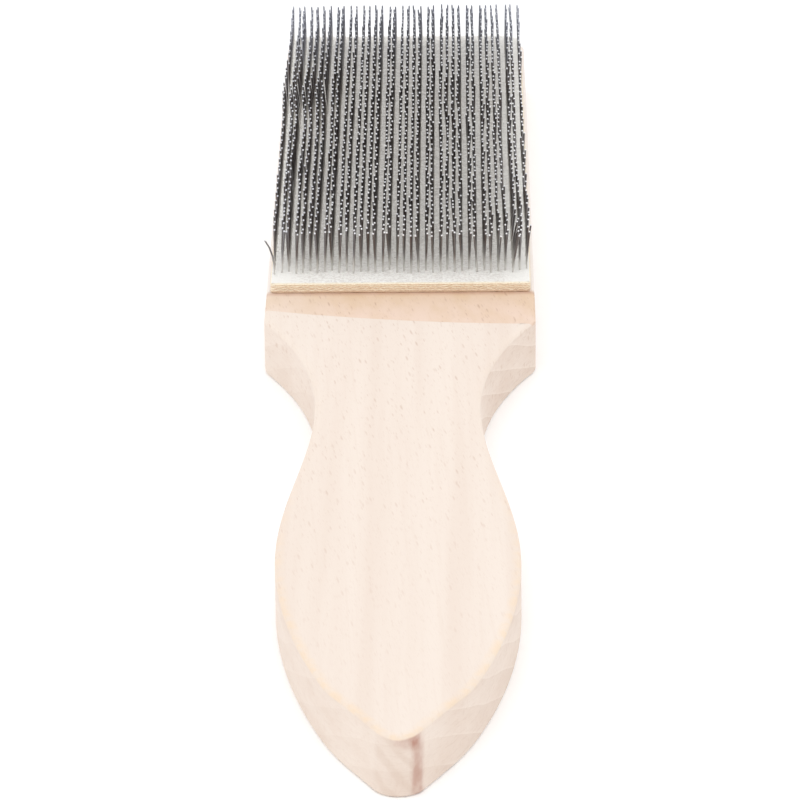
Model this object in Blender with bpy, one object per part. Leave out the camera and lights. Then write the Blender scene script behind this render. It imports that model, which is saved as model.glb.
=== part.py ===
"""Wire card brush: a beech paddle with a strip of wire card clothing glued to its head.

Metres. +X runs across the width, +Y along the length from the grip's nose to the far end of the
head, +Z up out of the wire side. The flat back lies on z = 0 and the origin is under the middle.
"""
import math

import bmesh
import bpy
from mathutils import Vector

MM = 0.001

# The board: a plan outline with one thickness.
BOARD_LENGTH = 266.0 * MM
BOARD_THICKNESS = 8.2 * MM
HEAD_HALF_WIDTH = 20.0 * MM
HEAD_CORNER_RADIUS = 4.0 * MM
WAIST_HALF_WIDTH = 11.75 * MM
WAIST_Y = -28.5 * MM
SHOULDER_RADIUS = 70.0 * MM
BELLY_HALF_WIDTH = 16.3 * MM
BELLY_Y = -78.5 * MM
BELLY_RADIUS = 121.0 * MM
BELLY_TURN = 18.8                # degrees; the belly arc ends where the side has turned this far
TAPER_RADIUS = 50.0 * MM
TAPER_TURN = 29.0                # degrees; the side then runs straight to the nose circle
NOSE_DRIFT = 0.9 * MM            # the grip's centre line strays this far to +X at the nose
EDGE_EASE = 0.4 * MM             # width of the eased arrises

FAR_Y = BOARD_LENGTH / 2
NOSE_Y = -BOARD_LENGTH / 2

# The seat for the card: planed lower than the grip, with a slightly slanted front edge.
SEAT_DEPTH = 0.2 * MM
SEAT_EDGE_Y = 5.6 * MM           # on the centre line
SEAT_EDGE_SLOPE = -0.15          # along Y for each unit of X
SEAT_STEP_RUN = 0.1 * MM
SEAT_Z = BOARD_THICKNESS - SEAT_DEPTH

# The card clothing: a glue bed and four plies.
CARD_HALF_WIDTH = 19.4 * MM
CARD_LENGTH = 115.0 * MM
CARD_FRONT_Y = 16.5 * MM
CARD_FAR_RADIUS = 3.6 * MM
CARD_FRONT_RADIUS = 0.5 * MM
LAYER_GAP = 0.05 * MM
GLUE_THICKNESS = 0.15 * MM
GLUE_INSET = 0.4 * MM
PLY_THICKNESS = 0.27 * MM
PLIES = ("backing_ply", "lower_core_ply", "upper_core_ply", "face_ply")

# The wire teeth: one comb for each lengthwise column of wires.
WIRE_DIAMETER = 0.28 * MM
COLUMN_COUNT = 36
FIRST_COLUMN_X = -18.95 * MM
COLUMN_PITCH = 2 * abs(FIRST_COLUMN_X) / (COLUMN_COUNT - 1)
FIRST_TOOTH_Y = CARD_FRONT_Y + 4.2 * MM
LAST_TOOTH_Y = CARD_FRONT_Y + CARD_LENGTH - 2.2 * MM
TOOTH_ROWS = 60
ROW_PITCH = (LAST_TOOTH_Y - FIRST_TOOTH_Y) / (TOOTH_ROWS - 1)
TOOTH_TOP_Z = 15.8 * MM
TOOTH_GAP = 0.3 * MM             # between the face ply and what stands on it
COMB_ROOT_HEIGHT = 1.2 * MM
COMB_GROUPS = 20
COMB_SLIT = 0.6 * MM

# The stray tooth: the first wire of column 1, bent outwards over the board's edge.
STRAY_TOOTH_LEAN = -1.45 * MM
STRAY_TOOTH_BEND = 3.0           # power of the bend: straight at the root, curled at the tip
STRAY_TOOTH_HEIGHT = 5.0 * MM
STRAY_TOOTH_POINTS = 9


def clear_scene():
    for old in list(bpy.data.objects):
        bpy.data.objects.remove(old, do_unlink=True)


def make_material(name, color, roughness, metallic=0.0):
    material = bpy.data.materials.new(name)
    material.use_nodes = True
    shader = material.node_tree.nodes["Principled BSDF"]
    shader.inputs["Base Color"].default_value = (*color, 1.0)
    shader.inputs["Roughness"].default_value = roughness
    shader.inputs["Metallic"].default_value = metallic
    return material


def add_object(name, mesh_data, material):
    piece = bpy.data.objects.new(name, mesh_data)
    mesh_data.materials.append(material)
    bpy.context.scene.collection.objects.link(piece)
    return piece


def object_from_bmesh(name, bm, material):
    bmesh.ops.recalc_face_normals(bm, faces=bm.faces)
    mesh = bpy.data.meshes.new(name)
    bm.to_mesh(mesh)
    bm.free()
    return add_object(name, mesh, material)


def arc(centre, radius, start_deg, end_deg, steps):
    """Points on an arc in plan, both ends included."""
    points = []
    for step in range(steps + 1):
        angle = math.radians(start_deg + (end_deg - start_deg) * step / steps)
        points.append((centre[0] + radius * math.cos(angle), centre[1] + radius * math.sin(angle)))
    return points


def nose_radius(taper_end):
    """Radius of the circle that ends at the nose and touches the line that leaves the taper arc."""
    sine = math.sin(math.radians(TAPER_TURN))
    cosine = math.cos(math.radians(TAPER_TURN))
    reach = taper_end[1] - NOSE_Y
    return (taper_end[0] * cosine - reach * sine) / (1 - sine)


def right_half_outline():
    """Plan points of the paddle's right side, from the far end to the nose."""
    corner = (HEAD_HALF_WIDTH - HEAD_CORNER_RADIUS, FAR_Y - HEAD_CORNER_RADIUS)
    points = arc(corner, HEAD_CORNER_RADIUS, 90, 0, 6)

    narrowing = SHOULDER_RADIUS - (HEAD_HALF_WIDTH - WAIST_HALF_WIDTH)
    shoulder_turn = math.degrees(math.acos(narrowing / SHOULDER_RADIUS))
    shoulder = (WAIST_HALF_WIDTH + SHOULDER_RADIUS, WAIST_Y)
    points += arc(shoulder, SHOULDER_RADIUS, 180 - shoulder_turn, 180, 14)

    swell_steps = 14
    for step in range(1, swell_steps):
        t = step / swell_steps
        swell = (1 - math.cos(math.pi * t)) / 2
        half = WAIST_HALF_WIDTH + (BELLY_HALF_WIDTH - WAIST_HALF_WIDTH) * swell
        points.append((half, WAIST_Y + (BELLY_Y - WAIST_Y) * t))

    belly_centre = (BELLY_HALF_WIDTH - BELLY_RADIUS, BELLY_Y)
    points += arc(belly_centre, BELLY_RADIUS, 0, -BELLY_TURN, 10)
    inwards = TAPER_RADIUS / BELLY_RADIUS
    taper_centre = tuple(
        edge + (middle - edge) * inwards for edge, middle in zip(points[-1], belly_centre)
    )
    points += arc(taper_centre, TAPER_RADIUS, -BELLY_TURN, -TAPER_TURN, 4)[1:]
    nose = nose_radius(points[-1])
    points += arc((0.0, NOSE_Y + nose), nose, -TAPER_TURN, -90, 8)
    return points


def drift(y):
    """How far the grip's centre line has strayed to +X at a place along the length."""
    t = min(max((WAIST_Y - y) / (WAIST_Y - NOSE_Y), 0.0), 1.0)
    return NOSE_DRIFT * t * t * (3 - 2 * t)


def paddle_outline():
    right = right_half_outline()
    left = [(-x, y) for x, y in reversed(right[:-1])]
    return [(x + drift(y), y) for x, y in right + left]


def extruded_plate(outline, low_z, high_z):
    """A closed plate with the given plan outline."""
    bm = bmesh.new()
    base = bm.faces.new([bm.verts.new((x, y, low_z)) for x, y in outline])
    walls = bmesh.ops.extrude_face_region(bm, geom=[base])
    top = [v for v in walls["geom"] if isinstance(v, bmesh.types.BMVert)]
    bmesh.ops.translate(bm, verts=top, vec=(0, 0, high_z - low_z))
    return bm


def ease_rims(bm, levels, width):
    """Bevel the edges that lie flat in the given levels."""
    rim = [
        edge
        for edge in bm.edges
        if any(all(abs(v.co.z - level) < 0.01 * MM for v in edge.verts) for level in levels)
    ]
    bmesh.ops.bevel(bm, geom=rim, offset=width, segments=1, profile=0.5, affect="EDGES", material=-1)


def plane_seat(bm):
    """Lower the top of the head beyond the slanted edge, with a short steep step."""
    across = Vector((-SEAT_EDGE_SLOPE, 1.0, 0.0)).normalized()
    edge = Vector((0.0, SEAT_EDGE_Y, 0.0))
    for run in (0.0, SEAT_STEP_RUN):
        geometry = bm.verts[:] + bm.edges[:] + bm.faces[:]
        bmesh.ops.bisect_plane(bm, geom=geometry, plane_co=edge + across * run, plane_no=across)
    for vert in bm.verts:
        beyond = (vert.co - edge).dot(across) > SEAT_STEP_RUN / 2
        if beyond and vert.co.z > BOARD_THICKNESS - EDGE_EASE / 2:
            vert.co.z -= SEAT_DEPTH


def build_handle(material):
    bm = extruded_plate(paddle_outline(), 0.0, BOARD_THICKNESS)
    ease_rims(bm, (0.0, BOARD_THICKNESS), EDGE_EASE)
    plane_seat(bm)
    object_from_bmesh("beech_handle", bm, material)


def card_outline(inset):
    """Plan of the card, drawn in by an inset, with rounder corners at the far end."""
    half = CARD_HALF_WIDTH - inset
    front = CARD_FRONT_Y + inset
    far = CARD_FRONT_Y + CARD_LENGTH - inset
    points = []
    for side, start in ((1, 0), (-1, 90)):
        centre = (side * (half - CARD_FAR_RADIUS), far - CARD_FAR_RADIUS)
        points += arc(centre, CARD_FAR_RADIUS, start, start + 90, 5)
    for side, start in ((-1, 180), (1, 270)):
        centre = (side * (half - CARD_FRONT_RADIUS), front + CARD_FRONT_RADIUS)
        points += arc(centre, CARD_FRONT_RADIUS, start, start + 90, 2)
    return points


def build_card_layers(glue, canvas, face):
    """The glue bed and the plies, from the wood up. Returns the top of the face ply."""
    low = SEAT_Z + LAYER_GAP
    bm = extruded_plate(card_outline(GLUE_INSET), low, low + GLUE_THICKNESS)
    object_from_bmesh("glue_bed", bm, glue)
    low += GLUE_THICKNESS + LAYER_GAP
    for name in PLIES:
        bm = extruded_plate(card_outline(0.0), low, low + PLY_THICKNESS)
        object_from_bmesh(name, bm, face if name == PLIES[-1] else canvas)
        top = low + PLY_THICKNESS
        low = top + LAYER_GAP
    return top


def comb_profile(root_z, first_y):
    """Side outline of a column: a root strip with one block of wires for each group."""
    pitch = (LAST_TOOTH_Y - first_y + WIRE_DIAMETER + COMB_SLIT) / COMB_GROUPS
    start = first_y - WIRE_DIAMETER / 2
    points = [(start, root_z)]
    for group in range(COMB_GROUPS):
        low = start + group * pitch
        high = low + pitch - COMB_SLIT
        if group > 0:
            points.append((low, root_z + COMB_ROOT_HEIGHT))
        points += [(low, TOOTH_TOP_Z), (high, TOOTH_TOP_Z)]
        if group < COMB_GROUPS - 1:
            points.append((high, root_z + COMB_ROOT_HEIGHT))
    points.append((start + COMB_GROUPS * pitch - COMB_SLIT, root_z))
    return points


def build_tooth_columns(face_top, material):
    for column in range(COLUMN_COUNT):
        first_y = FIRST_TOOTH_Y + (ROW_PITCH if column == 0 else 0.0)
        profile = comb_profile(face_top + TOOTH_GAP, first_y)
        x = FIRST_COLUMN_X + column * COLUMN_PITCH - WIRE_DIAMETER / 2
        bm = bmesh.new()
        side = bm.faces.new([bm.verts.new((x, y, z)) for y, z in profile])
        walls = bmesh.ops.extrude_face_region(bm, geom=[side])
        moved = [v for v in walls["geom"] if isinstance(v, bmesh.types.BMVert)]
        bmesh.ops.translate(bm, verts=moved, vec=(WIRE_DIAMETER, 0, 0))
        object_from_bmesh(f"tooth_column_{column + 1:02d}", bm, material)


def build_stray_tooth(face_top, material):
    curve = bpy.data.curves.new("stray_tooth", "CURVE")
    curve.dimensions = "3D"
    curve.bevel_depth = WIRE_DIAMETER / 2
    curve.bevel_resolution = 2
    curve.use_fill_caps = True
    spline = curve.splines.new("POLY")
    spline.points.add(STRAY_TOOTH_POINTS - 1)
    for index, point in enumerate(spline.points):
        t = index / (STRAY_TOOTH_POINTS - 1)
        x = FIRST_COLUMN_X + STRAY_TOOTH_LEAN * t ** STRAY_TOOTH_BEND
        z = face_top + TOOTH_GAP + STRAY_TOOTH_HEIGHT * t
        point.co = (x, FIRST_TOOTH_Y, z, 1.0)
    add_object("stray_tooth", curve, material)


def build_brush():
    clear_scene()
    beech = make_material("beech", (0.86, 0.74, 0.64), 0.55)
    glue = make_material("glue", (0.30, 0.19, 0.11), 0.5)
    canvas = make_material("canvas", (0.74, 0.60, 0.44), 0.9)
    face = make_material("face_felt", (0.86, 0.86, 0.80), 0.95)
    steel = make_material("steel_wire", (0.33, 0.33, 0.35), 0.35, 1.0)
    build_handle(beech)
    face_top = build_card_layers(glue, canvas, face)
    build_tooth_columns(face_top, steel)
    build_stray_tooth(face_top, steel)


build_brush()
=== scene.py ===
"""Looks of a wire card brush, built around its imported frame.

A beech paddle carries a strip of card clothing: a laminated canvas foundation with a felted face,
set with columns of fine steel wires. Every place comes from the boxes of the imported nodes, and the
sizes below are in millimetres, in the frame's own axes: +X across, +Y towards the far end of the
head, +Z out of the wires.
"""

from __future__ import annotations

import logging
import math
import random
from collections.abc import Iterable
from dataclasses import dataclass, field
from enum import Enum

import bmesh
import bpy
from bmesh.types import BMEdge, BMesh, BMFace, BMVert
from bpy.types import Material, Mesh, NodeSocket, Object
from mathutils import Matrix, Vector, noise


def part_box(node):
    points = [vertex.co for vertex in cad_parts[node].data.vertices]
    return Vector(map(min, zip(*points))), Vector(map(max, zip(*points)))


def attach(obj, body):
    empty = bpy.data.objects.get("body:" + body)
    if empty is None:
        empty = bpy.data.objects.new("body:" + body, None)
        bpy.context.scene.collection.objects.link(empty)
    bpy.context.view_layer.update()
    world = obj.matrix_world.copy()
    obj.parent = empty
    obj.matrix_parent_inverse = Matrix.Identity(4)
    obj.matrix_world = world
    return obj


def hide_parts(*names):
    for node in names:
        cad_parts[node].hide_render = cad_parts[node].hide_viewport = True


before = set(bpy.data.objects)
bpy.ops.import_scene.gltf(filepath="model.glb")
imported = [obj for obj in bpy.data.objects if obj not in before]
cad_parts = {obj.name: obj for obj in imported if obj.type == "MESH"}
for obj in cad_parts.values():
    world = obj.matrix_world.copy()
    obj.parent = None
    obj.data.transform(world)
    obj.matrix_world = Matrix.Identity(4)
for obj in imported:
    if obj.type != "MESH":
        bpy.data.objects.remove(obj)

MM = 0.001
BODY = "root"
WELD = 0.001  # millimetres: closer points are one point
FLAT = 0.99  # a face is level when its normal's z passes this
log = logging.getLogger("card_brush")

Pair = tuple[float, float]
Triple = tuple[float, float, float]
Colour = tuple[float, float, float, float]


def srgb(red: int, green: int, blue: int) -> Colour:
    """A linear colour from the 8-bit values that a screen shows."""
    parts = [level / 255 for level in (red, green, blue)]
    linear = [p / 12.92 if p <= 0.04045 else ((p + 0.055) / 1.055) ** 2.4 for p in parts]
    return (*linear, 1.0)


def smooth_step(low: float, high: float, value: float) -> float:
    """0 below low, 1 above high, and a smooth rise between them."""
    t = min(max((value - low) / (high - low), 0.0), 1.0)
    return t * t * (3 - 2 * t)


def drift(x: float, y: float, size: Pair, layer: float) -> float:
    """Smooth noise of about -1 to 1 over the plan: size is its grain, layer picks a pattern."""
    return noise.noise(Vector((x / size[0], y / size[1], layer)))


# ---- shader graphs


class Value:
    """A number or a colour in a shader graph: wraps one output socket."""

    def __init__(self, graph: Graph, socket: NodeSocket) -> None:
        """Keeps the socket and the graph that it belongs to."""
        self.graph = graph
        self.socket = socket

    def _math(self, operation: str, *operands: Value | float) -> Value:
        """Adds a Math node on these operands."""
        inputs = dict(enumerate(operands))
        return self.graph.node("ShaderNodeMath", {"operation": operation}, inputs)

    def __add__(self, other: Value | float) -> Value:
        """self + other."""
        return self._math("ADD", self, other)

    __radd__ = __add__

    def __sub__(self, other: Value | float) -> Value:
        """self - other."""
        return self._math("SUBTRACT", self, other)

    def __rsub__(self, other: Value | float) -> Value:
        """other - self."""
        return self._math("SUBTRACT", other, self)

    def __mul__(self, other: Value | float) -> Value:
        """self * other."""
        return self._math("MULTIPLY", self, other)

    __rmul__ = __mul__

    def sine(self) -> Value:
        """The sine of the value."""
        return self._math("SINE", self)

    def fraction(self) -> Value:
        """What is left of the value above a whole number."""
        return self._math("FRACT", self)

    def over(self, low: float, high: float) -> Value:
        """A mask that rises smoothly from 0 at low to 1 at high."""
        settings = {"interpolation_type": "SMOOTHSTEP", "clamp": True}
        inputs = {"Value": self, "From Min": low, "From Max": high}
        return self.graph.node("ShaderNodeMapRange", settings, inputs)

    def under(self, low: float, high: float) -> Value:
        """A mask that falls smoothly from 1 at low to 0 at high."""
        return 1 - self.over(low, high)


class Graph:
    """A material's node tree, with one method that adds any node."""

    MIX_FACTOR, MIX_A, MIX_B, MIX_RESULT = 0, 6, 7, 2

    def __init__(self, name: str) -> None:
        """Starts a material that holds a Principled BSDF and its output."""
        self.material = bpy.data.materials.new(name)
        self.material.use_nodes = True
        self.tree = self.material.node_tree
        self.shader = self.tree.nodes["Principled BSDF"]

    def feed(self, socket: NodeSocket, given: object) -> None:
        """Links a Value to a socket, or sets a constant on it."""
        if isinstance(given, Value):
            self.tree.links.new(given.socket, socket)
        else:
            socket.default_value = given

    def node(
        self,
        kind: str,
        settings: dict[str, object] | None = None,
        inputs: dict[str | int, object] | None = None,
        output: str | int = 0,
    ) -> Value:
        """Adds a node.

        Args:
            kind: the node's type.
            settings: its properties, set before the sockets.
            inputs: values or links for its sockets, by name or number.
            output: the output socket that is wanted.

        Returns:
            The wanted output.
        """
        made = self.tree.nodes.new(kind)
        for key, setting in (settings or {}).items():
            setattr(made, key, setting)
        for key, given in (inputs or {}).items():
            self.feed(made.inputs[key], given)
        return Value(self, made.outputs[output])

    def mix(self, factor: Value | float, low: Value | Colour, high: Value | Colour) -> Value:
        """A colour that goes from low to high as the factor goes from 0 to 1."""
        inputs = {self.MIX_FACTOR: factor, self.MIX_A: low, self.MIX_B: high}
        return self.node("ShaderNodeMix", {"data_type": "RGBA"}, inputs, self.MIX_RESULT)

    def place(self, stretch: Triple, turn_deg: float = 0.0) -> Value:
        """Object coordinates in millimetres, turned about Z, then scaled along each axis."""
        here = self.node("ShaderNodeTexCoord", output="Object")
        turned = self.node(
            "ShaderNodeMapping",
            {"vector_type": "POINT"},
            {"Vector": here, "Rotation": (0, 0, math.radians(turn_deg)), "Scale": (1 / MM,) * 3},
        )
        return self.node("ShaderNodeVectorMath", {"operation": "MULTIPLY"}, {0: turned, 1: stretch})

    def axes(self) -> tuple[Value, Value, Value]:
        """The object coordinates in millimetres, as three numbers."""
        here = self.place((1.0, 1.0, 1.0))
        return tuple(self.node("ShaderNodeSeparateXYZ", None, {0: here}, axis) for axis in range(3))

    def noise(
        self, stretch: Triple, detail: float = 2.0, roughness: float = 0.5, turn_deg: float = 0.0
    ) -> Value:
        """Fractal noise from 0 to 1, at the object coordinates turned and scaled as in place."""
        where = self.place(stretch, turn_deg)
        inputs = {"Vector": where, "Scale": 1.0, "Detail": detail, "Roughness": roughness}
        return self.node("ShaderNodeTexNoise", {"noise_dimensions": "3D"}, inputs)

    def cells(self, where: Value, output: str) -> Value:
        """The "Distance" to scattered points, or the "Color" of each point's cell."""
        settings = {"voronoi_dimensions": "3D", "feature": "F1"}
        inputs = {"Vector": where, "Scale": 1.0, "Randomness": 1.0}
        return self.node("ShaderNodeTexVoronoi", settings, inputs, output)

    def bump(self, height: Value, strength: float, distance_mm: float) -> None:
        """Feeds a height in 0..1 to the shader's normal."""
        inputs = {"Strength": strength, "Distance": distance_mm * MM, "Height": height}
        self.surface({"Normal": self.node("ShaderNodeBump", None, inputs)})

    def surface(self, inputs: dict[str, object]) -> Material:
        """Sets or links sockets of the Principled BSDF, and returns the material."""
        for key, given in inputs.items():
            self.feed(self.shader.inputs[key], given)
        return self.material


# ---- finishes


@dataclass(frozen=True)
class Beech:
    """Pale sanded beech: soft bands, ray flecks along the grain and a warm tint on the arrises."""

    seat_edge: Triple
    half_width: float
    front_y: float
    top_z: float
    nose: Pair
    pale: Colour = srgb(234, 221, 210)
    rosy: Colour = srgb(226, 209, 196)
    fleck: Colour = srgb(186, 150, 126)
    planed: Colour = srgb(231, 205, 187)
    # shaded: painted shade that the seat darkens to towards the card; also the darker side of its
    # cloudy mottling.
    shaded: Colour = srgb(220, 190, 158)
    warm: Colour = srgb(238, 212, 180)
    # Grey-brown: the end grain at the nose, and the painted shade on the walls.
    end_grain_and_wall_shade: Colour = srgb(190, 162, 142)
    # Dark brown: the knot at the nose, and the painted contact shadow along the card's front edge.
    dark_brown: Colour = srgb(176, 128, 112)
    bleached: Colour = srgb(240, 236, 234)
    slant_deg: float = -10.0
    fleck_cell: Triple = (1.6, 0.27, 0.6)
    arris_run: Pair = (0.45, 0.15)
    right_run: Pair = (2.0, 9.0)
    grip_run: Pair = (-100.0, -40.0)
    seat_left_run: Pair = (-19.0, -6.0)
    # How far the painted shade on the seat reaches out from the card's front edge.
    card_shade_run: float = 11.0
    crisp_run: float = 120.0
    warm_run: Pair = (25.0, 90.0)
    ring_turn: Triple = (0.62, 0.12, 0.5)
    ring_rate: float = 3.6

    def flecks(self, graph: Graph, size: float, share: float) -> Value:
        """A mask of short slanted dashes of a size, in a share of the cells."""
        where = graph.place(tuple(part / size for part in self.fleck_cell), self.slant_deg)
        distance = graph.cells(where, "Distance")
        colour = graph.cells(where, "Color")
        chance = graph.node("ShaderNodeSeparateColor", None, {0: colour}, 0)
        bold = graph.node("ShaderNodeSeparateColor", None, {0: colour}, 1) * 0.7 + 0.3
        return distance.under(0.08, 0.27) * chance.under(share - 0.05, share + 0.05) * bold

    def below_arris(self, z: Value) -> Value:
        """1 on the walls below the rounded top edge, 0 above it."""
        foot, head = self.arris_run
        return z.under(self.top_z - foot, self.top_z - head)

    def nose_marks(self, graph: Graph, x: Value, y: Value, z: Value) -> tuple[Value, Value]:
        """Masks for the dark knot at the nose and for the slanted end grain beside it."""
        low_side = self.below_arris(z)
        nose_x, nose_y = self.nose
        blot = graph.noise((1.1, 1.1, 0.5), 3.0, 0.6)
        off_x = x - nose_x + (blot - 0.5) * 0.7
        near = (y - nose_y).under(1.0, 4.5) * low_side
        patchy = graph.noise((0.6, 0.6, 0.45), 2.0).over(0.36, 0.6) * 0.3 + 0.32
        stripe = off_x.over(-1.1, -0.35) * off_x.under(0.35, 1.0)
        height = (z - self.top_z + 3.2).over(0.0, 2.8)
        wedge = (off_x + height * 3.2).over(-0.6, 1.0) * off_x.under(-0.4, 0.6) * height
        dark_brown = near * (stripe * patchy + wedge * (blot * 0.5 + 0.12))
        swirl = graph.noise((0.3, 0.3, 0.3), 1.0)
        turn_x, turn_y, turn_z = self.ring_turn
        rings = ((x * turn_x + z * turn_z + y * turn_y + swirl) * self.ring_rate).sine()
        beside = x.over(nose_x - 6.5, nose_x - 4.5) * x.under(nose_x, nose_x + 0.6)
        facet = beside * y.under(nose_y + 1.5, nose_y + 3.0)
        return dark_brown, (rings.over(-0.4, 1.0) * 0.6 + 0.5) * facet * low_side

    def seat_mask(self, graph: Graph, x: Value, y: Value, z: Value) -> Value:
        """1 on the planed seat in front of the card, 0 elsewhere."""
        level, slope, curve = self.seat_edge
        line = (x * curve + slope) * x + (level - curve * self.half_width**2)
        on_top = z.over(self.top_z - 0.6, self.top_z - 0.45)
        in_front = y.under(self.front_y - 0.5, self.front_y + 1.5)
        worn = graph.noise((0.4, 0.4, 0.4), 2.0, 0.5) - 0.5
        return (y - line + worn * 0.8).over(-0.3, 0.3) * on_top * in_front

    def wall_grain_and_shade(self, graph: Graph, x: Value, y: Value, z: Value) -> tuple[Value, Value]:
        """Masks for the walls: painted shade that darkens every wall, the right-hand walls most,
        broken into soft bands by the cut grain, and pale grain lines between the bands.
        """
        layers = graph.noise((0.06, 0.05, 0.06), 2.0, 0.5)
        step = ((z + y * 0.4 + layers * 2.4) * 0.27).fraction()
        clouds = graph.noise((0.16, 0.1, 0.3), 3.0, 0.6)
        scratches = graph.noise((0.5, 0.5, 4.0), 2.0).over(0.5, 0.75)
        right = x.over(*self.right_run)
        # Painted shade: every wall darker than the top, the right-hand walls most, as under a light
        # from the upper left; a little less on the right towards the nose.
        right_wall_shade = right * (1.0 - y.under(*self.grip_run) * 0.35)
        shade = (step * 0.35 + clouds * 0.7 + scratches * 0.4) * (right_wall_shade * 0.26 + 0.20)
        return shade, step.under(0.03, 0.12) * right

    def seat_tone(self, graph: Graph, x: Value, y: Value) -> Value:
        """The planed seat's colour: cloudy, with painted shade that darkens it towards the card, and
        a dark brown painted contact shadow where they meet.
        """
        clouds = graph.noise((0.30, 0.14, 0.30), 4.0, 0.6, turn_deg=self.slant_deg)
        # Painted shade: the seat grows darker towards the card, which shades it.
        near_card = y.over(self.front_y - self.card_shade_run, self.front_y - 0.5)
        shade = near_card * 0.55 + clouds.over(0.38, 0.66) * 0.45
        tone = graph.mix(shade, self.planed, self.shaded)
        tone = graph.mix(x.under(*self.seat_left_run) * 0.35, tone, self.pale)
        # Painted contact shadow: a dark brown line along the card's front edge.
        contact = y.over(self.front_y - 1.5, self.front_y - 0.1)
        return graph.mix(contact * (clouds * 0.5 + 0.15), tone, self.dark_brown)

    def rim_mask(self, x: Value, y: Value, z: Value) -> Value:
        """1 on the narrow strips of the head's top beside the card, 0 elsewhere."""
        beside = x.over(self.half_width - 1.0, self.half_width - 0.5)
        beside = beside + x.under(0.5 - self.half_width, 1.0 - self.half_width)
        behind = y.over(self.front_y - 0.3, self.front_y + 1.5)
        return beside * behind * z.over(self.top_z - 0.8, self.top_z - 0.5)

    def material(self) -> Material:
        """Builds the wood."""
        graph = Graph("beech")
        x, y, z = graph.axes()
        bands = graph.noise((0.22, 0.006, 0.22), 3.0, 0.55)
        streaks = graph.noise((1.7, 0.035, 1.7), 3.0, 0.6, turn_deg=self.slant_deg / 3)
        fine = graph.noise((5.0, 0.5, 5.0), 2.0, turn_deg=self.slant_deg)
        tone = graph.mix(bands.over(0.36, 0.70) * 0.6, self.pale, self.rosy)
        tone = graph.mix(streaks.over(0.5, 0.8) * 0.35, tone, self.rosy)

        seat = self.seat_mask(graph, x, y, z)
        tone = graph.mix(seat * 0.9, tone, self.seat_tone(graph, x, y))

        strong = self.flecks(graph, 1.25, 0.6)
        faint = self.flecks(graph, 0.9, 0.7)
        tiny = self.flecks(graph, 0.55, 0.7)
        crisp = y.over(self.nose[1], self.nose[1] + self.crisp_run) * 0.75 + 0.25
        marks = (strong * 0.38 + faint * 0.30 + tiny * 0.24) * crisp * (seat * 0.6 + 1.0)
        tone = graph.mix(marks, tone, self.fleck)
        tone = graph.mix(fine.over(0.52, 0.78) * 0.10, tone, self.fleck)

        on_wall = self.below_arris(z) * z.over(0.1, 0.4)
        # The walls take painted shade, banded by the cut grain, and then pale grain lines.
        shade, line = self.wall_grain_and_shade(graph, x, y, z)
        tone = graph.mix(shade * on_wall, tone, self.end_grain_and_wall_shade)
        tone = graph.mix(line * on_wall * 0.24, tone, self.pale)
        tone = graph.mix(self.rim_mask(x, y, z) * 0.75, tone, self.bleached)
        dark_brown, rings = self.nose_marks(graph, x, y, z)
        tone = graph.mix(rings * 0.24, tone, self.end_grain_and_wall_shade)
        tone = graph.mix(dark_brown, tone, self.dark_brown)

        arris = graph.node("ShaderNodeAttribute", {"attribute_name": "arris"}, None, "Fac")
        ragged = graph.noise((0.5, 0.5, 0.5), 3.0).over(0.35, 0.65)
        start, end = self.warm_run
        near_nose = y.under(self.nose[1] + start, self.nose[1] + end) * 0.5 + 0.06
        upper = z.over(self.top_z * 0.5, self.top_z * 0.6)
        tone = graph.mix(arris * upper * (ragged * 0.7 + 0.3) * near_nose, tone, self.warm)

        graph.bump(fine * 0.5 + streaks * 0.6 - marks * 1.2, 0.35, 0.05)
        rough = 0.62 - marks * 0.08
        return graph.surface({"Base Color": tone, "Roughness": rough, "Specular IOR Level": 0.3})


@dataclass(frozen=True)
class Felt:
    """The white face of the foundation: a pressed, slightly fluffy cloth with a few dark specks, its
    outer lanes painted lighter than the middle, which the wires shade.
    """

    front_y: float
    lit_edge_left: Pair = (-17.5, -14.0)
    lit_edge_right: Pair = (14.5, 17.5)
    fibre_turn_deg: float = 35.0
    cream: Colour = srgb(240, 226, 196)
    light: Colour = srgb(251, 249, 244)
    grey: Colour = srgb(227, 222, 216)
    speck: Colour = srgb(110, 104, 92)

    def material(self) -> Material:
        """Builds the felted cloth."""
        graph = Graph("felt_face")
        fluff = graph.noise((2.6, 2.6, 2.6), 4.0, 0.65)
        fibre = graph.noise((6.0, 1.4, 6.0), 2.0, turn_deg=self.fibre_turn_deg)
        tone = graph.mix(fluff.under(0.35, 0.6), self.light, self.grey)
        specks = graph.cells(graph.place((0.32, 0.32, 0.32)), "Distance").under(0.03, 0.06)
        x, y, _ = graph.axes()
        # Painted light: the outer lanes, which the wires shade less, are lightened towards the light
        # tone.
        lit_edge = x.under(*self.lit_edge_left) + x.over(*self.lit_edge_right)
        tone = graph.mix(lit_edge * 0.9, tone, self.light)
        rim = (y + fluff * 0.8 - 0.4).under(self.front_y + 0.1, self.front_y + 0.9)
        tone = graph.mix(rim * 0.8, tone, self.cream)
        tone = graph.mix(specks * 0.7, tone, self.speck)
        graph.bump(fluff + fibre * 0.6, 0.9, 0.2)
        return graph.surface({"Base Color": tone, "Roughness": 0.95, "Sheen Weight": 0.2})


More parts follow.
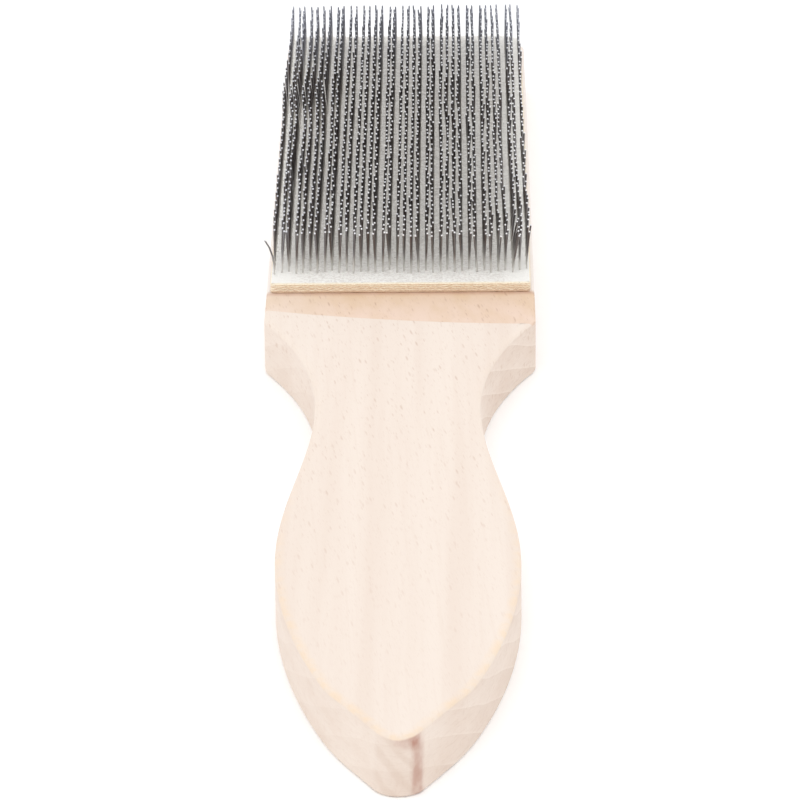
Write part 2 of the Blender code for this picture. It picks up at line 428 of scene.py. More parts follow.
@dataclass(frozen=True)
class Canvas:
    """Tan canvas ply, seen edge-on as cut threads."""

    name: str
    tan: Colour
    dark: Colour
    lower_plies: Pair = (8.3, 9.2)

    def material(self) -> Material:
        """Builds the canvas or the cement that bonds it."""
        graph = Graph(self.name)
        threads = graph.noise((3.2, 3.2, 7.0), 3.0, 0.6)
        patches = graph.noise((0.25, 0.25, 0.8), 2.0)
        tone = graph.mix(threads.under(0.35, 0.62) * 0.8, self.tan, self.dark)
        _, _, z = graph.axes()
        # Darker in patches, and darker on the plies towards the bottom.
        darker_patches_and_bottom = patches.over(0.45, 0.75) * 0.35 + z.under(*self.lower_plies) * 0.3
        tone = graph.mix(darker_patches_and_bottom, tone, self.dark)
        graph.bump(threads, 0.8, 0.08)
        return graph.surface({"Base Color": tone, "Roughness": 0.9, "Specular IOR Level": 0.2})


@dataclass(frozen=True)
class Glue:
    """Dried brown glue in the joint under the foundation."""

    body: Colour = srgb(196, 158, 128)
    dark: Colour = srgb(158, 116, 88)

    def material(self) -> Material:
        """Builds the glue."""
        graph = Graph("glue")
        lumps = graph.noise((0.8, 0.8, 2.0), 3.0)
        tone = graph.mix(lumps.over(0.4, 0.65), self.body, self.dark)
        graph.bump(lumps, 0.5, 0.1)
        return graph.surface({"Base Color": tone, "Roughness": 0.5})


@dataclass(frozen=True)
class SteelWire:
    """Hard-drawn steel wire: dark sides, lighter towards the foot and painted lighter at the far
    end, or the cut end, painted near white as a glint.
    """

    name: str
    foot_z: float
    far_y: float
    foot: Colour = srgb(212, 210, 206)
    body: Colour = srgb(126, 124, 125)
    tint: Colour = srgb(102, 93, 90)
    # Painted light at the far end: the sides of the far rows lighten to this, as haze and flare
    # lighten them; the cut ends' glint dims to it.
    far_painted_light: Colour = srgb(184, 187, 198)
    left_glint_dimming: float = 0.0
    roughness: float = 0.24
    metallic: float = 1.0
    far_run: Pair = (32.0, 4.0)
    left_run: Pair = (-19.0, -3.0)
    foot_run: Pair = (0.4, 3.4)

    def material(self) -> Material:
        """Builds the wire's side, or the painted glint on its cut end."""
        graph = Graph(self.name)
        patches = graph.noise((1.1, 0.8, 0.15), 2.0)
        tone = graph.mix(patches.over(0.4, 0.7), self.body, self.tint)
        x, y, z = graph.axes()
        # Painted light: the far rows take the far tone, lighter on the sides and duller on the
        # glinting ends; on the ends the left side dims as well.
        start, end = self.far_run
        far = y.over(self.far_y - start, self.far_y - end) * 0.85
        left = (x.under(*self.left_run) + patches - 0.3) * self.left_glint_dimming
        tone = graph.mix(far + left, tone, self.far_painted_light)
        start, end = self.foot_run
        low = (z + patches * 1.2 - 0.6).under(self.foot_z + start, self.foot_z + end)
        tone = graph.mix(low, tone, self.foot)
        drawn = graph.noise((14.0, 14.0, 0.6), 1.0)
        graph.bump(drawn, 0.2, 0.02)
        rough = patches * 0.12 + self.roughness
        return graph.surface({"Base Color": tone, "Metallic": self.metallic, "Roughness": rough})


@dataclass(frozen=True)
class StudioPaper:
    """The pale floor."""

    tone: Colour = srgb(250, 250, 250)
    glow: float = 0.08

    def material(self) -> Material:
        """Builds the paper."""
        graph = Graph("studio_paper")
        matt = {"Base Color": self.tone, "Roughness": 0.9, "Specular IOR Level": 0.1}
        glow = {"Emission Color": self.tone, "Emission Strength": self.glow}
        return graph.surface(matt | glow)


# ---- mesh helpers


class Axis(Enum):
    """The axes that the models are mirrored across and turned about, as unit vectors."""

    X = (1.0, 0.0, 0.0)
    Z = (0.0, 0.0, 1.0)


def node_box(node: str) -> tuple[Vector, Vector]:
    """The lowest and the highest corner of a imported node, in millimetres."""
    low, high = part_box(node)
    return low / MM, high / MM


def new_object(name: str, data: bpy.types.ID) -> Object:
    """An object at the origin, linked to the scene."""
    made = bpy.data.objects.new(name, data)
    bpy.context.scene.collection.objects.link(made)
    return made


def new_mesh(name: str, bm: BMesh) -> Mesh:
    """A mesh made from a BMesh, which is freed."""
    mesh = bpy.data.meshes.new(name)
    bm.to_mesh(mesh)
    bm.free()
    return mesh


class OutlinePen:
    """Draws a plan outline in millimetres as a chain of edges, stretch after stretch."""

    def __init__(self, bm: BMesh, x: float, y: float) -> None:
        """Puts the pen down."""
        self.bm = bm
        self.tip = bm.verts.new((x, y, 0.0))

    def line(self, x: float, y: float, steps: int = 1) -> None:
        """Draws a straight stretch to a point, in equal steps."""
        start = self.tip.co.copy()
        for step in range(1, steps + 1):
            made = bmesh.ops.extrude_vert_indiv(self.bm, verts=[self.tip])
            self.tip = made["verts"][0]
            self.tip.co = start.lerp(Vector((x, y, 0.0)), step / steps)

    def arc(self, centre: Pair, degrees: float, steps: int) -> None:
        """Draws an arc about a centre, counted anticlockwise."""
        turn = {"axis": Axis.Z.value, "angle": math.radians(degrees), "steps": steps}
        made = bmesh.ops.spin(self.bm, geom=[self.tip], cent=(*centre, 0.0), **turn)
        self.tip = next(v for v in made["geom_last"] if isinstance(v, BMVert))

    def close_mirrored(self) -> BMFace:
        """Mirrors the drawn half across the length and fills the outline."""
        drawn = self.bm.verts[:] + self.bm.edges[:]
        bmesh.ops.mirror(self.bm, geom=drawn, axis=Axis.X.name, merge_dist=WELD)
        bmesh.ops.remove_doubles(self.bm, verts=self.bm.verts, dist=WELD)
        filled = bmesh.ops.contextual_create(self.bm, geom=self.bm.edges)
        return filled["faces"][0]


def extrude_up(bm: BMesh, face: BMFace, height: float) -> BMFace:
    """Raises a plan face into a plate of a height, and returns the face on top."""
    made = bmesh.ops.extrude_face_region(bm, geom=[face])["geom"]
    top = [part for part in made if isinstance(part, BMVert)]
    bmesh.ops.translate(bm, verts=top, vec=(0.0, 0.0, height))
    bmesh.ops.recalc_face_normals(bm, faces=bm.faces)
    return next(part for part in made if isinstance(part, BMFace))


def rim_edges(bm: BMesh, level: float) -> list[BMEdge]:
    """The edges that lie flat at a height and have a wall on one side."""
    flat = [e for e in bm.edges if all(abs(v.co.z - level) < WELD for v in e.verts)]
    return [e for e in flat if any(abs(f.normal.z) < 0.5 for f in e.link_faces)]


def is_level(face: BMFace) -> bool:
    """Whether a face looks straight up or straight down."""
    return abs(face.normal.z) > FLAT


def soften(bm: BMesh, edges: Iterable[BMEdge], width: float, segments: int) -> list[BMFace]:
    """Rounds edges over a width, in a number of strips, and returns the new faces."""
    shape = {"offset_type": "OFFSET", "affect": "EDGES", "profile": 0.5, "clamp_overlap": True}
    cut = {"geom": list(edges), "offset": width, "segments": segments, "material": -1}
    return bmesh.ops.bevel(bm, **cut, **shape)["faces"]


def split_flats(bm: BMesh) -> None:
    """Splits the many-sided flat faces into well-shaped triangles."""
    wide = [f for f in bm.faces if len(f.verts) > 4]
    bmesh.ops.triangulate(bm, faces=wide, quad_method="BEAUTY", ngon_method="BEAUTY")


def finish_piece(
    name: str,
    bm: BMesh,
    materials: Iterable[Material],
    nodes: Iterable[str],
    sharp_deg: float = 35.0,
) -> Object:
    """Turns a mesh in millimetres into a piece that rides on the brush.

    Args:
        name: the piece's name.
        bm: its mesh, which is freed.
        materials: its materials, in the order of the faces' material numbers.
        nodes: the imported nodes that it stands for.
        sharp_deg: edges sharper than this stay crisp.

    Returns:
        The finished object.
    """
    bmesh.ops.scale(bm, vec=(MM, MM, MM), verts=bm.verts)
    mesh = new_mesh(name, bm)
    mesh.shade_smooth()
    mesh.set_sharp_from_angle(angle=math.radians(sharp_deg))
    for material in materials:
        mesh.materials.append(material)
    piece = new_object(name, mesh)
    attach(piece, BODY)
    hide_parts(*nodes)
    log.info("%s: %d faces for %s", name, len(mesh.polygons), ", ".join(nodes))
    return piece


# ---- the paddle


@dataclass
class Paddle:
    """The beech board: head, shoulders, waist, leaf-shaped grip and blunt nose."""

    node: str = "beech_handle"
    head_corner: float = 4.0
    waist_half: float = 11.75
    waist_y: float = -28.5
    shoulder_radius: float = 70.0
    shoulder_round: float = 0.9
    belly_half: float = 16.3
    belly_y: float = -78.5
    belly_radius: float = 121.0
    belly_turn: float = 18.8
    taper_radius: float = 50.0
    taper_turn: float = 29.0
    nose_drift: float = 0.9
    nose_pinch: float = 0.7
    nose_mark_x: float = 3.3
    arris: float = 0.45
    arris_tint_width: float = 1.0
    seat_depth: float = 0.2
    seat_edge: Triple = (6.3, -0.15, 0.0033)
    seat_step_run: float = 0.12
    seat_cuts: range = range(-16, 17, 4)
    pinch_run: Pair = (15.0, 8.0)
    pinch_share: float = 0.35
    corner_deg: float = 15.0
    segments: int = 3
    cleanup_weld: float = 0.01
    end_steps: int = 4
    corner_steps: int = 12
    side_steps: int = 24
    curve_steps: int = 36
    belly_steps: int = 26
    taper_steps: int = 12
    flank_steps: int = 6
    nose_steps: int = 14
    low: Vector = field(init=False)
    high: Vector = field(init=False)

    def __post_init__(self) -> None:
        """Reads the board's box from the frame."""
        self.low, self.high = node_box(self.node)

    @property
    def half_width(self) -> float:
        """Half the width of the head."""
        return (self.high.x - self.low.x) / 2

    @property
    def seat_z(self) -> float:
        """The height of the seat for the card."""
        return self.high.z - self.seat_depth

    def _draw_nose(self, pen: OutlinePen) -> None:
        """Draws the belly arc, a tighter taper arc, a straight flank and the nose circle."""
        belly_x = self.belly_half - self.belly_radius
        pen.arc((belly_x, self.belly_y), -self.belly_turn, self.belly_steps)
        belly_centre = Vector((belly_x, self.belly_y, 0.0))
        centre = pen.tip.co.lerp(belly_centre, self.taper_radius / self.belly_radius)
        pen.arc((centre.x, centre.y), self.belly_turn - self.taper_turn, self.taper_steps)

        turn = math.radians(self.taper_turn)
        reach = pen.tip.co.y - self.low.y
        rest = 1 - math.sin(turn)
        nose = (pen.tip.co.x * math.cos(turn) - reach * math.sin(turn)) / rest
        pen.line(nose * math.cos(turn), self.low.y + nose * rest, self.flank_steps)
        pen.arc((0.0, self.low.y + nose), self.taper_turn - 90, self.nose_steps)

    def _draw_half(self, bm: BMesh) -> OutlinePen:
        """Draws the right half of the outline, from the far end to the nose."""
        pen = OutlinePen(bm, 0.0, self.high.y)
        side = self.half_width - self.head_corner
        pen.line(side, self.high.y, self.end_steps)
        pen.arc((side, self.high.y - self.head_corner), -90, self.corner_steps)

        centre_x = self.waist_half + self.shoulder_radius
        turn = math.acos((centre_x - self.half_width) / self.shoulder_radius)
        shoulder_y = self.waist_y + self.shoulder_radius * math.sin(turn)
        pen.line(self.half_width, shoulder_y, self.side_steps)
        pen.arc((centre_x, self.waist_y), math.degrees(turn), self.curve_steps)

        for step in range(1, self.curve_steps + 1):
            t = step / self.curve_steps
            swell = (1 - math.cos(math.pi * t)) / 2
            half = self.waist_half + (self.belly_half - self.waist_half) * swell
            pen.line(half, self.waist_y + (self.belly_y - self.waist_y) * t)

        self._draw_nose(pen)
        return pen

    def _plane_seat(self, bm: BMesh) -> None:
        """Lowers the top of the head beyond the slanted edge, with a short steep step."""
        level, slope, curve = self.seat_edge
        across = Vector((-slope, 1.0, 0.0)).normalized()
        lengthwise = Vector(Axis.X.value)
        cuts = [(lengthwise * place, lengthwise) for place in self.seat_cuts]
        cuts += [(Vector((0.0, level + run, 0.0)), across) for run in (0.0, self.seat_step_run)]
        for place, normal in cuts:
            geometry = bm.verts[:] + bm.edges[:] + bm.faces[:]
            bmesh.ops.bisect_plane(bm, geom=geometry, plane_co=place, plane_no=normal)
        for vert in bm.verts:
            beyond = vert.co.y - level - slope * vert.co.x
            if abs(beyond - self.seat_step_run / 2) < self.seat_step_run:
                vert.co.y += curve * (vert.co.x**2 - self.half_width**2)
            if beyond > self.seat_step_run / 2 and vert.co.z > self.high.z - self.arris / 2:
                vert.co.z -= self.seat_depth

    def _hand_shape(self, bm: BMesh) -> None:
        """Sands the nose's walls in towards the top, and lets the grip's centre line stray."""
        start, end = self.pinch_run
        for vert in bm.verts:
            near = smooth_step(self.low.y + start, self.low.y + end, vert.co.y)
            pinch = min(self.nose_pinch * near, abs(vert.co.x) * self.pinch_share)
            vert.co.x -= math.copysign(pinch, vert.co.x) * vert.co.z / self.high.z
            vert.co.x += self.nose_drift * smooth_step(self.waist_y, self.low.y, vert.co.y)

    def _mark_arris(self, bm: BMesh) -> None:
        """Writes which vertices lie on a rounded arris, for the warm tint."""
        layer = bm.verts.layers.float.new("arris")
        for vert in bm.verts:
            on_wall = not all(is_level(face) for face in vert.link_faces)
            vert[layer] = float(on_wall and self._in_rim(vert))

    def build(self, wood: Material) -> None:
        """Models the board and hands it over."""
        bm = bmesh.new()
        extrude_up(bm, self._draw_half(bm).close_mirrored(), self.high.z)
        self._hand_shape(bm)
        soften(bm, self._shoulder_edges(bm), self.shoulder_round, self.segments)
        for level in (0.0, self.high.z):
            soften(bm, rim_edges(bm, level), self.arris, self.segments)
        flats = [f for f in bm.faces if is_level(f)]
        width = self.arris_tint_width
        bmesh.ops.inset_region(bm, faces=flats, thickness=width, use_even_offset=True)
        self._mark_arris(bm)
        self._plane_seat(bm)
        bmesh.ops.remove_doubles(bm, verts=bm.verts, dist=self.cleanup_weld)
        split_flats(bm)
        bmesh.ops.recalc_face_normals(bm, faces=bm.faces)
        piece = finish_piece("paddle", bm, [wood], [self.node])
        weighted = piece.modifiers.new("flat_faces", "WEIGHTED_NORMAL")
        weighted.keep_sharp = True

    def _in_rim(self, vert: BMVert) -> bool:
        """Whether a vertex lies on a rounded arris."""
        depth = self.arris - self.cleanup_weld
        return not depth < vert.co.z < self.high.z - depth

    def _shoulder_edges(self, bm: BMesh) -> list[BMEdge]:
        """The two upright edges near the middle, where the head meets the shoulders."""
        upright = [e for e in bm.edges if abs(e.verts[0].co.z - e.verts[1].co.z) > self.arris]
        corners = []
        for edge in upright:
            foot = edge.verts[0].co
            steep = edge.calc_face_angle(0.0) > math.radians(self.corner_deg)
            if steep and abs(foot.y) < self.high.z * 2:
                corners.append(edge)
        return corners


# ---- the card


@dataclass
class CardFoundation:
    """The laminated foundation: a glue bed, three canvas plies and a felted face ply."""

    seat_z: float
    plies: tuple[str, ...] = ("backing_ply", "lower_core_ply", "upper_core_ply", "face_ply")
    glue_node: str = "glue_bed"
    far_corner: float = 3.6
    front_corner: float = 0.5
    rim_step: float = 0.35
    rim_round: float = 0.09
    wave_height: float = 0.15
    wave_length: float = 1.35
    ragged_depth: float = 0.14
    glue_inset: float = 0.12
    glue_seam: float = 0.10
    felt_sag: float = 0.06
    far_steps: int = 14
    front_steps: int = 4
    rim_segments: int = 2
    sharp_deg: float = 60.0
    side_reach: float = 0.12
    inner_ring: float = 0.8
    glue_layer: int = 9
    glue_ragged: float = 1.5
    low: Vector = field(init=False)
    high: Vector = field(init=False)
    levels: list[float] = field(init=False)

    def __post_init__(self) -> None:
        """Reads the plies' boxes: neighbouring plies meet halfway between them."""
        boxes = [node_box(name) for name in self.plies]
        self.low, self.high = boxes[0][0], boxes[-1][1]
        self.levels = [self.seat_z + self.glue_seam]
        for below, above in zip(boxes, boxes[1:]):
            self.levels.append((below[1].z + above[0].z) / 2)
        self.levels.append(self.high.z)

    @property
    def centre(self) -> Vector:
        """The middle of the card."""
        return (self.low + self.high) / 2

    def _plan(self, bm: BMesh, inset: float) -> BMFace:
        """The card's plan, drawn in by an inset."""
        half = self.high.x - inset
        front, far = self.low.y + inset, self.high.y - inset
        pen = OutlinePen(bm, 0.0, far)
        side = half - self.far_corner
        pen.line(side, far, round(side / self.rim_step))
        pen.arc((side, far - self.far_corner), -90, self.far_steps)
        pen.line(half, front + self.front_corner, round((far - front) / self.rim_step))
        pen.arc((half - self.front_corner, front + self.front_corner), -90, self.front_steps)
        pen.line(0.0, front, round(half / self.rim_step))
        return pen.close_mirrored()

    def _wave(self, place: Vector, level: int) -> float:
        """How far the seam between two plies strays from flat at a place on the rim."""
        if level in (0, len(self.levels) - 1):
            return 0.0
        calm = drift(place.x, place.y, (9.0, 9.0), level * 0.7 + 3.1)
        swing = 0.4 + 0.6 * smooth_step(-0.15, 0.3, calm)
        turn = (place.x + place.y) * math.tau / self.wave_length
        wobble = drift(place.x, place.y, (2.0, 2.0), level * 5.3)
        return self.wave_height * swing * math.sin(turn + wobble * 4.0 + level * 1.9)

    def _ragged(self, place: Vector, ply: int) -> float:
        """How far a ply's cut edge stands in or out at a place on the rim."""
        slow = drift(place.x, place.y, (6.0, 6.0), ply * 11.0)
        quick = drift(place.x, place.y, (0.7, 0.7), ply * 17.0)
        return self.ragged_depth * (slow * 0.7 + quick * 0.45)

    def _shape_rim(self, bm: BMesh, ply: int, rim: set[BMVert]) -> None:
        """Bends the seams and roughens the cut edge of one ply."""
        low, high = self.levels[ply], self.levels[ply + 1]
        for vert in rim:
            share = (vert.co.z - low) / (high - low)
            bottom = self._wave(vert.co, ply)
            vert.co.z += bottom + (self._wave(vert.co, ply + 1) - bottom) * share
            if ply == len(self.plies) - 1:
                sag = drift(vert.co.x, vert.co.y, (1.1, 1.1), 40.0)
                vert.co.z -= share * self.felt_sag * (0.6 + sag)
            away = vert.co - self.centre
            reach = self._ragged(vert.co, ply)
            if abs(away.x) > self.high.x - 1.0:
                vert.co.x += math.copysign(min(reach, self.side_reach), away.x)
            else:
                vert.co.y += math.copysign(reach, away.y)

    def _ply(self, ply: int, materials: list[Material], name: str) -> None:
        """Models one ply: cut edge, rims and top take the first, second and last material."""
        low, high = self.levels[ply], self.levels[ply + 1]
        bm = bmesh.new()
        plan = self._plan(bm, 0.0)
        bmesh.ops.translate(bm, verts=bm.verts, vec=(0.0, 0.0, low))
        extrude_up(bm, plan, high - low)
        for level in (low, high):
            for lip in soften(bm, rim_edges(bm, level), self.rim_round, self.rim_segments):
                lip.material_index = 1
        for face in bm.faces:
            if face.normal.z > FLAT:
                face.material_index = len(materials) - 1
        flats = [f for f in bm.faces if is_level(f) and len(f.verts) > 8]
        walls = {v for f in bm.faces if f not in flats for v in f.verts}
        bmesh.ops.inset_region(bm, faces=flats, thickness=self.inner_ring, use_even_offset=True)
        self._shape_rim(bm, ply, walls)
        split_flats(bm)
        finish_piece(name, bm, materials, [self.plies[ply]], self.sharp_deg)

    def _glue(self, glue: Material) -> None:
        """Models the glue bed, which stays a little behind the plies' edge."""
        bm = bmesh.new()
        plan = self._plan(bm, self.glue_inset)
        bmesh.ops.translate(bm, verts=bm.verts, vec=(0.0, 0.0, self.seat_z))
        extrude_up(bm, plan, self.levels[0] - self.seat_z)
        for vert in bm.verts:
            reach = self._ragged(vert.co, self.glue_layer) * self.glue_ragged
            vert.co.y += math.copysign(reach, vert.co.y - self.centre.y)
        split_flats(bm)
        finish_piece("glue_seam", bm, [glue], [self.glue_node])

    def build(self, felt: Material, canvas: Material, cement: Material, glue: Material) -> None:
        """Models the glue bed and the plies, from the wood up."""
        self._glue(glue)
        for ply, node in enumerate(self.plies[:-1]):
            self._ply(ply, [canvas, cement], f"canvas_{node}")
        self._ply(len(self.plies) - 1, [canvas, cement, felt], "felt_face")


# ---- the wires


@dataclass(frozen=True)
class Snag:
    """A spot where use has pushed the wires over."""

    centre: Pair
    reach: Pair
    push: Pair
    pinch: float = 0.0

    def lean(self, x: float, y: float) -> Vector:
        """How far it moves the tip of a wire that stands at a place."""
        off_x = (x - self.centre[0]) / self.reach[0]
        off_y = (y - self.centre[1]) / self.reach[1]
        share = math.exp(-(off_x**2 + off_y**2) / 2)
        return Vector((self.push[0] - self.pinch * off_x, self.push[1], 0.0)) * share


@dataclass
class WireTeeth:
    """The wire teeth: lengthwise columns, two columns to a line of U-shaped staples."""

    face_z: float
    first_node: str = "tooth_column_02"
    column_nodes: tuple[str, ...] = tuple(f"tooth_column_{n:02d}" for n in range(1, 37))
    stray_node: str = "stray_tooth"
    rows: int = 60
    diameter: float = 0.28
    sides: int = 8
    sunk: float = 0.15
    # Length of the tip that takes the painted glint.
    painted_glint_length: float = 0.18
    height_spread: float = 0.10
    zigzag: float = 0.085
    rings: tuple[float, ...] = (0.3, 0.55, 0.8, 1.0)
    burr: tuple[Pair, ...] = ((0.03, 0.97), (0.0, 0.78))
    sharp_deg: float = 50.0
    slip_line: int = 5
    squeeze: Triple = (0.42, 0.20, 0.20)
    pull: Triple = (0.0, 0.10, -0.22)
    stagger: Pair = (0.37, 0.9)
    foot_scatter: Pair = (0.03, 0.12)
    side_scatter: Pair = (0.05, 0.04)
    wander: float = 0.12
    stray_wander: float = 0.28
    sway: float = 0.35
    fan: Pair = (0.9, 1.3)
    fan_half: float = 19.0
    back_lean: float = 0.25
    front_rows: int = 2
    length_scatter: Pair = (0.42, 0.2)
    bends: Pair = (1.1, 1.7)
    stray_bend: float = 3.0
    stray_sway: float = 0.3
    snags: tuple[Snag, ...] = (
        Snag((-15.5, 87.0), (3.8, 6.0), (-0.6, -0.1)),
        Snag((-17.6, 50.0), (1.6, 6.0), (-0.25, 0.3), pinch=0.2),
        Snag((16.4, 20.0), (1.2, 8.0), (0.1, 0.0), pinch=0.35),
        Snag((17.4, 24.0), (1.7, 13.0), (0.6, 0.0)),
        Snag((7.0, 84.0), (2.4, 6.0), (-0.25, -0.2)),
    )
    seed: int = 7
    top_z: float = field(init=False)
    first_y: float = field(init=False)
    last_y: float = field(init=False)
    pitch: float = field(init=False)
    template: Mesh = field(init=False)
    rng: random.Random = field(init=False)

    def __post_init__(self) -> None:
        """Models one wire and starts the random draws."""
        self.rng = random.Random(self.seed)
        low, high = node_box(self.first_node)
        self.top_z = high.z
        self.first_y = low.y + self.diameter / 2
        self.last_y = high.y - self.diameter / 2
        self.pitch = (self.last_y - self.first_y) / (self.rows - 1)
        self.template = self._wire()

    @property
    def height(self) -> float:
        """How far a wire stands out of the face."""
        return self.top_z - self.face_z

    def _wire(self) -> Mesh:
        """One straight wire of full height, its foot a little below z = 0, its end carrying the
        painted glint.
        """
        bm = bmesh.new()
        radius = self.diameter / 2
        foot = bmesh.ops.create_circle(bm, segments=self.sides, radius=radius)
        ring = list({e for v in foot["verts"] for e in v.link_edges})
        bmesh.ops.translate(bm, verts=foot["verts"], vec=(0.0, 0.0, -self.sunk))
        neck = self.height - self.painted_glint_length
        shank = [(neck * t, 1.0) for t in self.rings]
        tip = [(self.height - below, wide) for below, wide in self.burr]
        level, width = -self.sunk, 1.0
        for high, wide in shank + tip:
            made = bmesh.ops.extrude_edge_only(bm, edges=ring)["geom"]
            verts = [part for part in made if isinstance(part, BMVert)]
            ring = [part for part in made if isinstance(part, BMEdge)]
            bmesh.ops.translate(bm, verts=verts, vec=(0.0, 0.0, high - level))
            bmesh.ops.scale(bm, verts=verts, vec=(wide / width, wide / width, 1.0))
            level, width = high, wide
        cap = bmesh.ops.edgeloop_fill(bm, edges=ring)["faces"]
        bmesh.ops.recalc_face_normals(bm, faces=bm.faces)
        for face in bm.faces:
            # The cap and the tip's facets take the painted glint material.
            face.material_index = int(face in cap or face.calc_center_median().z > neck)
        return new_mesh("wire_template", bm)

    def _staple_lean(self, column: int) -> float:
        """Sideways lean of a column's tips.

        A staple's legs lean towards each other. Of every three lines of staples, one is squeezed
        tight and two draw together, which opens lanes; the count slips once, beyond slip_line.
        """
        staple = (column + 1) // 2
        if column == 0 or column == len(self.column_nodes) - 1:
            return 0.0
        phase = (staple - (2 if staple > self.slip_line else 1)) % 3
        pull = self.pull[phase] * (0.4 + 0.04 * staple)
        inward = 1.0 if column % 2 == 1 else -1.0
        return inward * self.squeeze[phase] / 2 + pull

    def _tip_offset(self, x: float, y: float, column: int, row: int) -> Vector:
        """Where a wire's tip stands relative to its foot."""
        along = row / (self.rows - 1)
        zigzag = self.zigzag if (row + column) % 2 else -self.zigzag
        unruly = smooth_step(-2.0, 8.0, x) * smooth_step(1.0, 0.6, along)
        wander = drift(x, y, (6.0, 14.0), 2.0) * self.wander
        stray = drift(x, y, (0.9, 8.0), 5.0) * self.stray_wander * unruly
        even, more = self.side_scatter
        scatter = self.rng.gauss(0.0, even + more * unruly)
        side = self._staple_lean(column) + zigzag + wander + stray + scatter

        spread, shift = self.fan
        trend = -spread * (x / self.fan_half) * (1.0 - shift * along) - self.back_lean
        loose = self.length_scatter[0 if row < self.front_rows else 1]
        sway = drift(x, y, (5.0, 9.0), 8.0) * self.sway
        lengthwise = trend + sway + self.rng.gauss(0.0, loose)
        rise = -abs(self.rng.gauss(0.0, self.height_spread))
        lean = Vector((side, lengthwise, rise))
        return sum((snag.lean(x, y) for snag in self.snags), lean)

    def _place_wire(self, bm: BMesh, foot: Vector, tip: Vector, bend: float) -> None:
        """Adds one wire, turned at random about its length.

        Args:
            bm: the column's mesh.
            foot: where it stands on the face.
            tip: how far its tip is from straight above the foot, at full height.
            bend: 1 for a straight wire, more for one that curls at the tip.
        """
        start = len(bm.verts)
        bm.from_mesh(self.template)
        bm.verts.ensure_lookup_table()
        turn = Matrix.Rotation(self.rng.uniform(0.0, math.tau), 3, "Z")
        stretch = 1.0 + tip.z / self.height
        for index in range(start, len(bm.verts)):
            vert = bm.verts[index]
            t = max(vert.co.z / self.height, 0.0)
            vert.co = turn @ vert.co
            vert.co.z *= stretch
            share = t**bend
            vert.co.x += tip.x * share
            vert.co.y += tip.y * share
            vert.co += foot

    def _column(self, column: int, node: str, materials: list[Material]) -> None:
        """Models one lengthwise column of wires."""
        low, high = node_box(node)
        x = (low.x + high.x) / 2
        step, share = self.stagger
        stagger = (column * step) % 1.0 * share
        side_scatter, length_scatter = self.foot_scatter
        bm = bmesh.new()
        for row in range(self.rows):
            if column == 0 and row == 0:
                continue
            y = self.first_y + (row + stagger * (1 - row / self.rows)) * self.pitch
            foot_x = x + self.rng.gauss(0.0, side_scatter)
            foot_y = y + self.rng.gauss(0.0, length_scatter)
            foot = Vector((foot_x, foot_y, self.face_z))
            tip = self._tip_offset(foot.x, foot.y, column, row)
            self._place_wire(bm, foot, tip, self.rng.uniform(*self.bends))
        finish_piece(f"wires_{column + 1:02d}", bm, materials, [node], self.sharp_deg)

    def _stray(self, materials: list[Material]) -> None:
        """Models the bent wire at the front corner."""
        low, high = node_box(self.stray_node)
        root_x = high.x - self.diameter / 2
        lean = low.x + self.diameter / 2 - root_x
        foot = Vector((root_x, (low.y + high.y) / 2, self.face_z))
        bm = bmesh.new()
        tip = Vector((lean, self.stray_sway, high.z - self.top_z))
        self._place_wire(bm, foot, tip, self.stray_bend)
        nodes = [self.stray_node]
        finish_piece("bent_wire", bm, materials, nodes, self.sharp_deg)

    def build(self, side: Material, cut: Material) -> None:
        """Models every column and the bent wire."""
        for column, node in enumerate(self.column_nodes):
            self._column(column, node, [side, cut])
        self._stray([side, cut])


# ---- the studio


@dataclass(frozen=True)
class Softbox:
    """A square area light that looks at a point."""

    name: str
    place: Triple
    size: float
    power: float

    def build(self, aim: Vector) -> None:
        """Hangs the light."""
        data = bpy.data.lights.new(self.name, "AREA")
        data.shape = "SQUARE"
        data.size = self.size
        data.energy = self.power
        lamp = new_object(self.name, data)
        lamp.location = self.place
        lamp.rotation_euler = (aim - lamp.location).to_track_quat("-Z", "Y").to_euler()


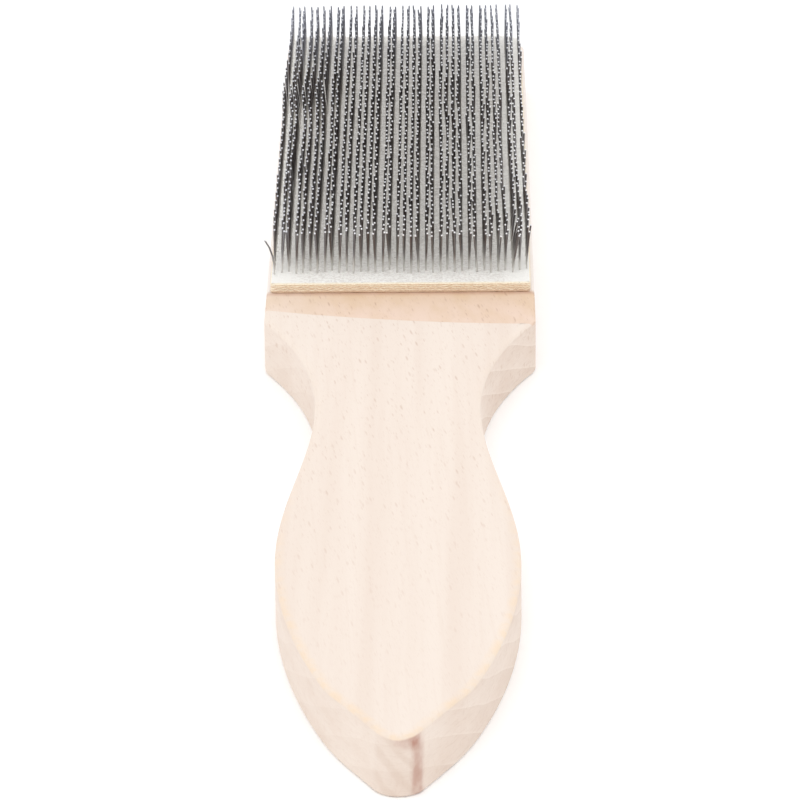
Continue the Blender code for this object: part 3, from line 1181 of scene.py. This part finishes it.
@dataclass
class Studio:
    """Pale floor, soft light and the camera."""

    top_z: float
    aim_plan: Pair = (0.27, -25.5)
    distance: float = 0.7335
    elevation_deg: float = 22.7
    azimuth_deg: float = -0.704
    roll_deg: float = -0.632
    lens_mm: float = 232.75
    sensor_mm: float = 36.0
    clip_start: float = 0.05
    world_strength: float = 1.08
    floor_size: float = 6.0
    floor_gap: float = 0.00005
    lights: tuple[Softbox, ...] = (
        Softbox("key_softbox", (-0.35, -0.55, 1.1), 1.0, 1.6),
        Softbox("far_softbox", (0.2, 1.1, 0.9), 0.7, 1.2),
    )

    @property
    def aim(self) -> Vector:
        """The point that the camera and the lights look at, in metres."""
        return Vector((*self.aim_plan, self.top_z)) * MM

    def _floor(self) -> None:
        """Lays the floor."""
        bm = bmesh.new()
        bmesh.ops.create_grid(bm, x_segments=1, y_segments=1, size=self.floor_size / 2)
        bmesh.ops.translate(bm, verts=bm.verts, vec=(0.0, 0.0, -self.floor_gap))
        mesh = new_mesh("floor", bm)
        mesh.materials.append(StudioPaper().material())
        floor = new_object("floor", mesh)

    def _world(self) -> None:
        """Fills the room with even white light."""
        world = bpy.data.worlds.new("studio")
        world.use_nodes = True
        backdrop = world.node_tree.nodes["Background"]
        backdrop.inputs["Color"].default_value = (1.0, 1.0, 1.0, 1.0)
        backdrop.inputs["Strength"].default_value = self.world_strength
        bpy.context.scene.world = world

    def _camera(self) -> None:
        """Sets the camera at the viewing angle."""
        rise = math.radians(self.elevation_deg)
        swing = math.radians(self.azimuth_deg)
        level = math.cos(rise)
        ahead = Vector((math.sin(swing) * level, math.cos(swing) * level, -math.sin(rise)))
        data = bpy.data.cameras.new("camera")
        data.lens = self.lens_mm
        data.sensor_width = self.sensor_mm
        data.clip_start = self.clip_start
        camera = new_object("camera", data)
        look = ahead.to_track_quat("-Z", "Y").to_matrix()
        look = look @ Matrix.Rotation(math.radians(self.roll_deg), 3, "Z")
        place = self.aim - ahead * self.distance
        camera.matrix_world = Matrix.LocRotScale(place, look.to_quaternion(), None)
        bpy.context.scene.camera = camera

    def build(self) -> None:
        """Sets up the floor, the light and the camera."""
        self._floor()
        self._world()
        for light in self.lights:
            light.build(self.aim)
        self._camera()
        bpy.context.scene.view_settings.view_transform = "Standard"


def steel(teeth: WireTeeth) -> tuple[Material, Material]:
    """The materials of the wires' sides, and of their cut ends, painted near white as a glint."""
    side = SteelWire("wire_side", teeth.face_z, teeth.last_y)
    # Painted glint: the cut ends near white and partly diffuse, so that they shine under any light.
    cut = SteelWire(
        "wire_end",
        teeth.face_z,
        teeth.last_y,
        foot=srgb(252, 252, 253),
        body=srgb(252, 252, 253),
        tint=srgb(240, 240, 244),
        far_painted_light=srgb(196, 199, 208),
        left_glint_dimming=0.5,
        roughness=0.35,
        metallic=0.3,
    )
    return side.material(), cut.material()


def main() -> None:
    """Builds the brush and its studio."""
    logging.basicConfig(level=logging.INFO, format="%(message)s")
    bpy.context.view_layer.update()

    paddle = Paddle()
    card = CardFoundation(seat_z=paddle.seat_z)
    teeth = WireTeeth(face_z=card.high.z)
    wood = Beech(
        seat_edge=paddle.seat_edge,
        half_width=paddle.half_width,
        front_y=card.low.y,
        top_z=paddle.high.z,
        nose=(paddle.nose_mark_x, paddle.low.y),
    )
    paddle.build(wood.material())
    card.build(
        Felt(front_y=card.low.y).material(),
        Canvas("canvas", srgb(236, 215, 188), srgb(206, 176, 150)).material(),
        Canvas("cement", srgb(250, 242, 222), srgb(238, 220, 192)).material(),
        Glue().material(),
    )
    teeth.build(*steel(teeth))
    Studio(top_z=paddle.high.z).build()


if __name__ == "__main__":
    main()
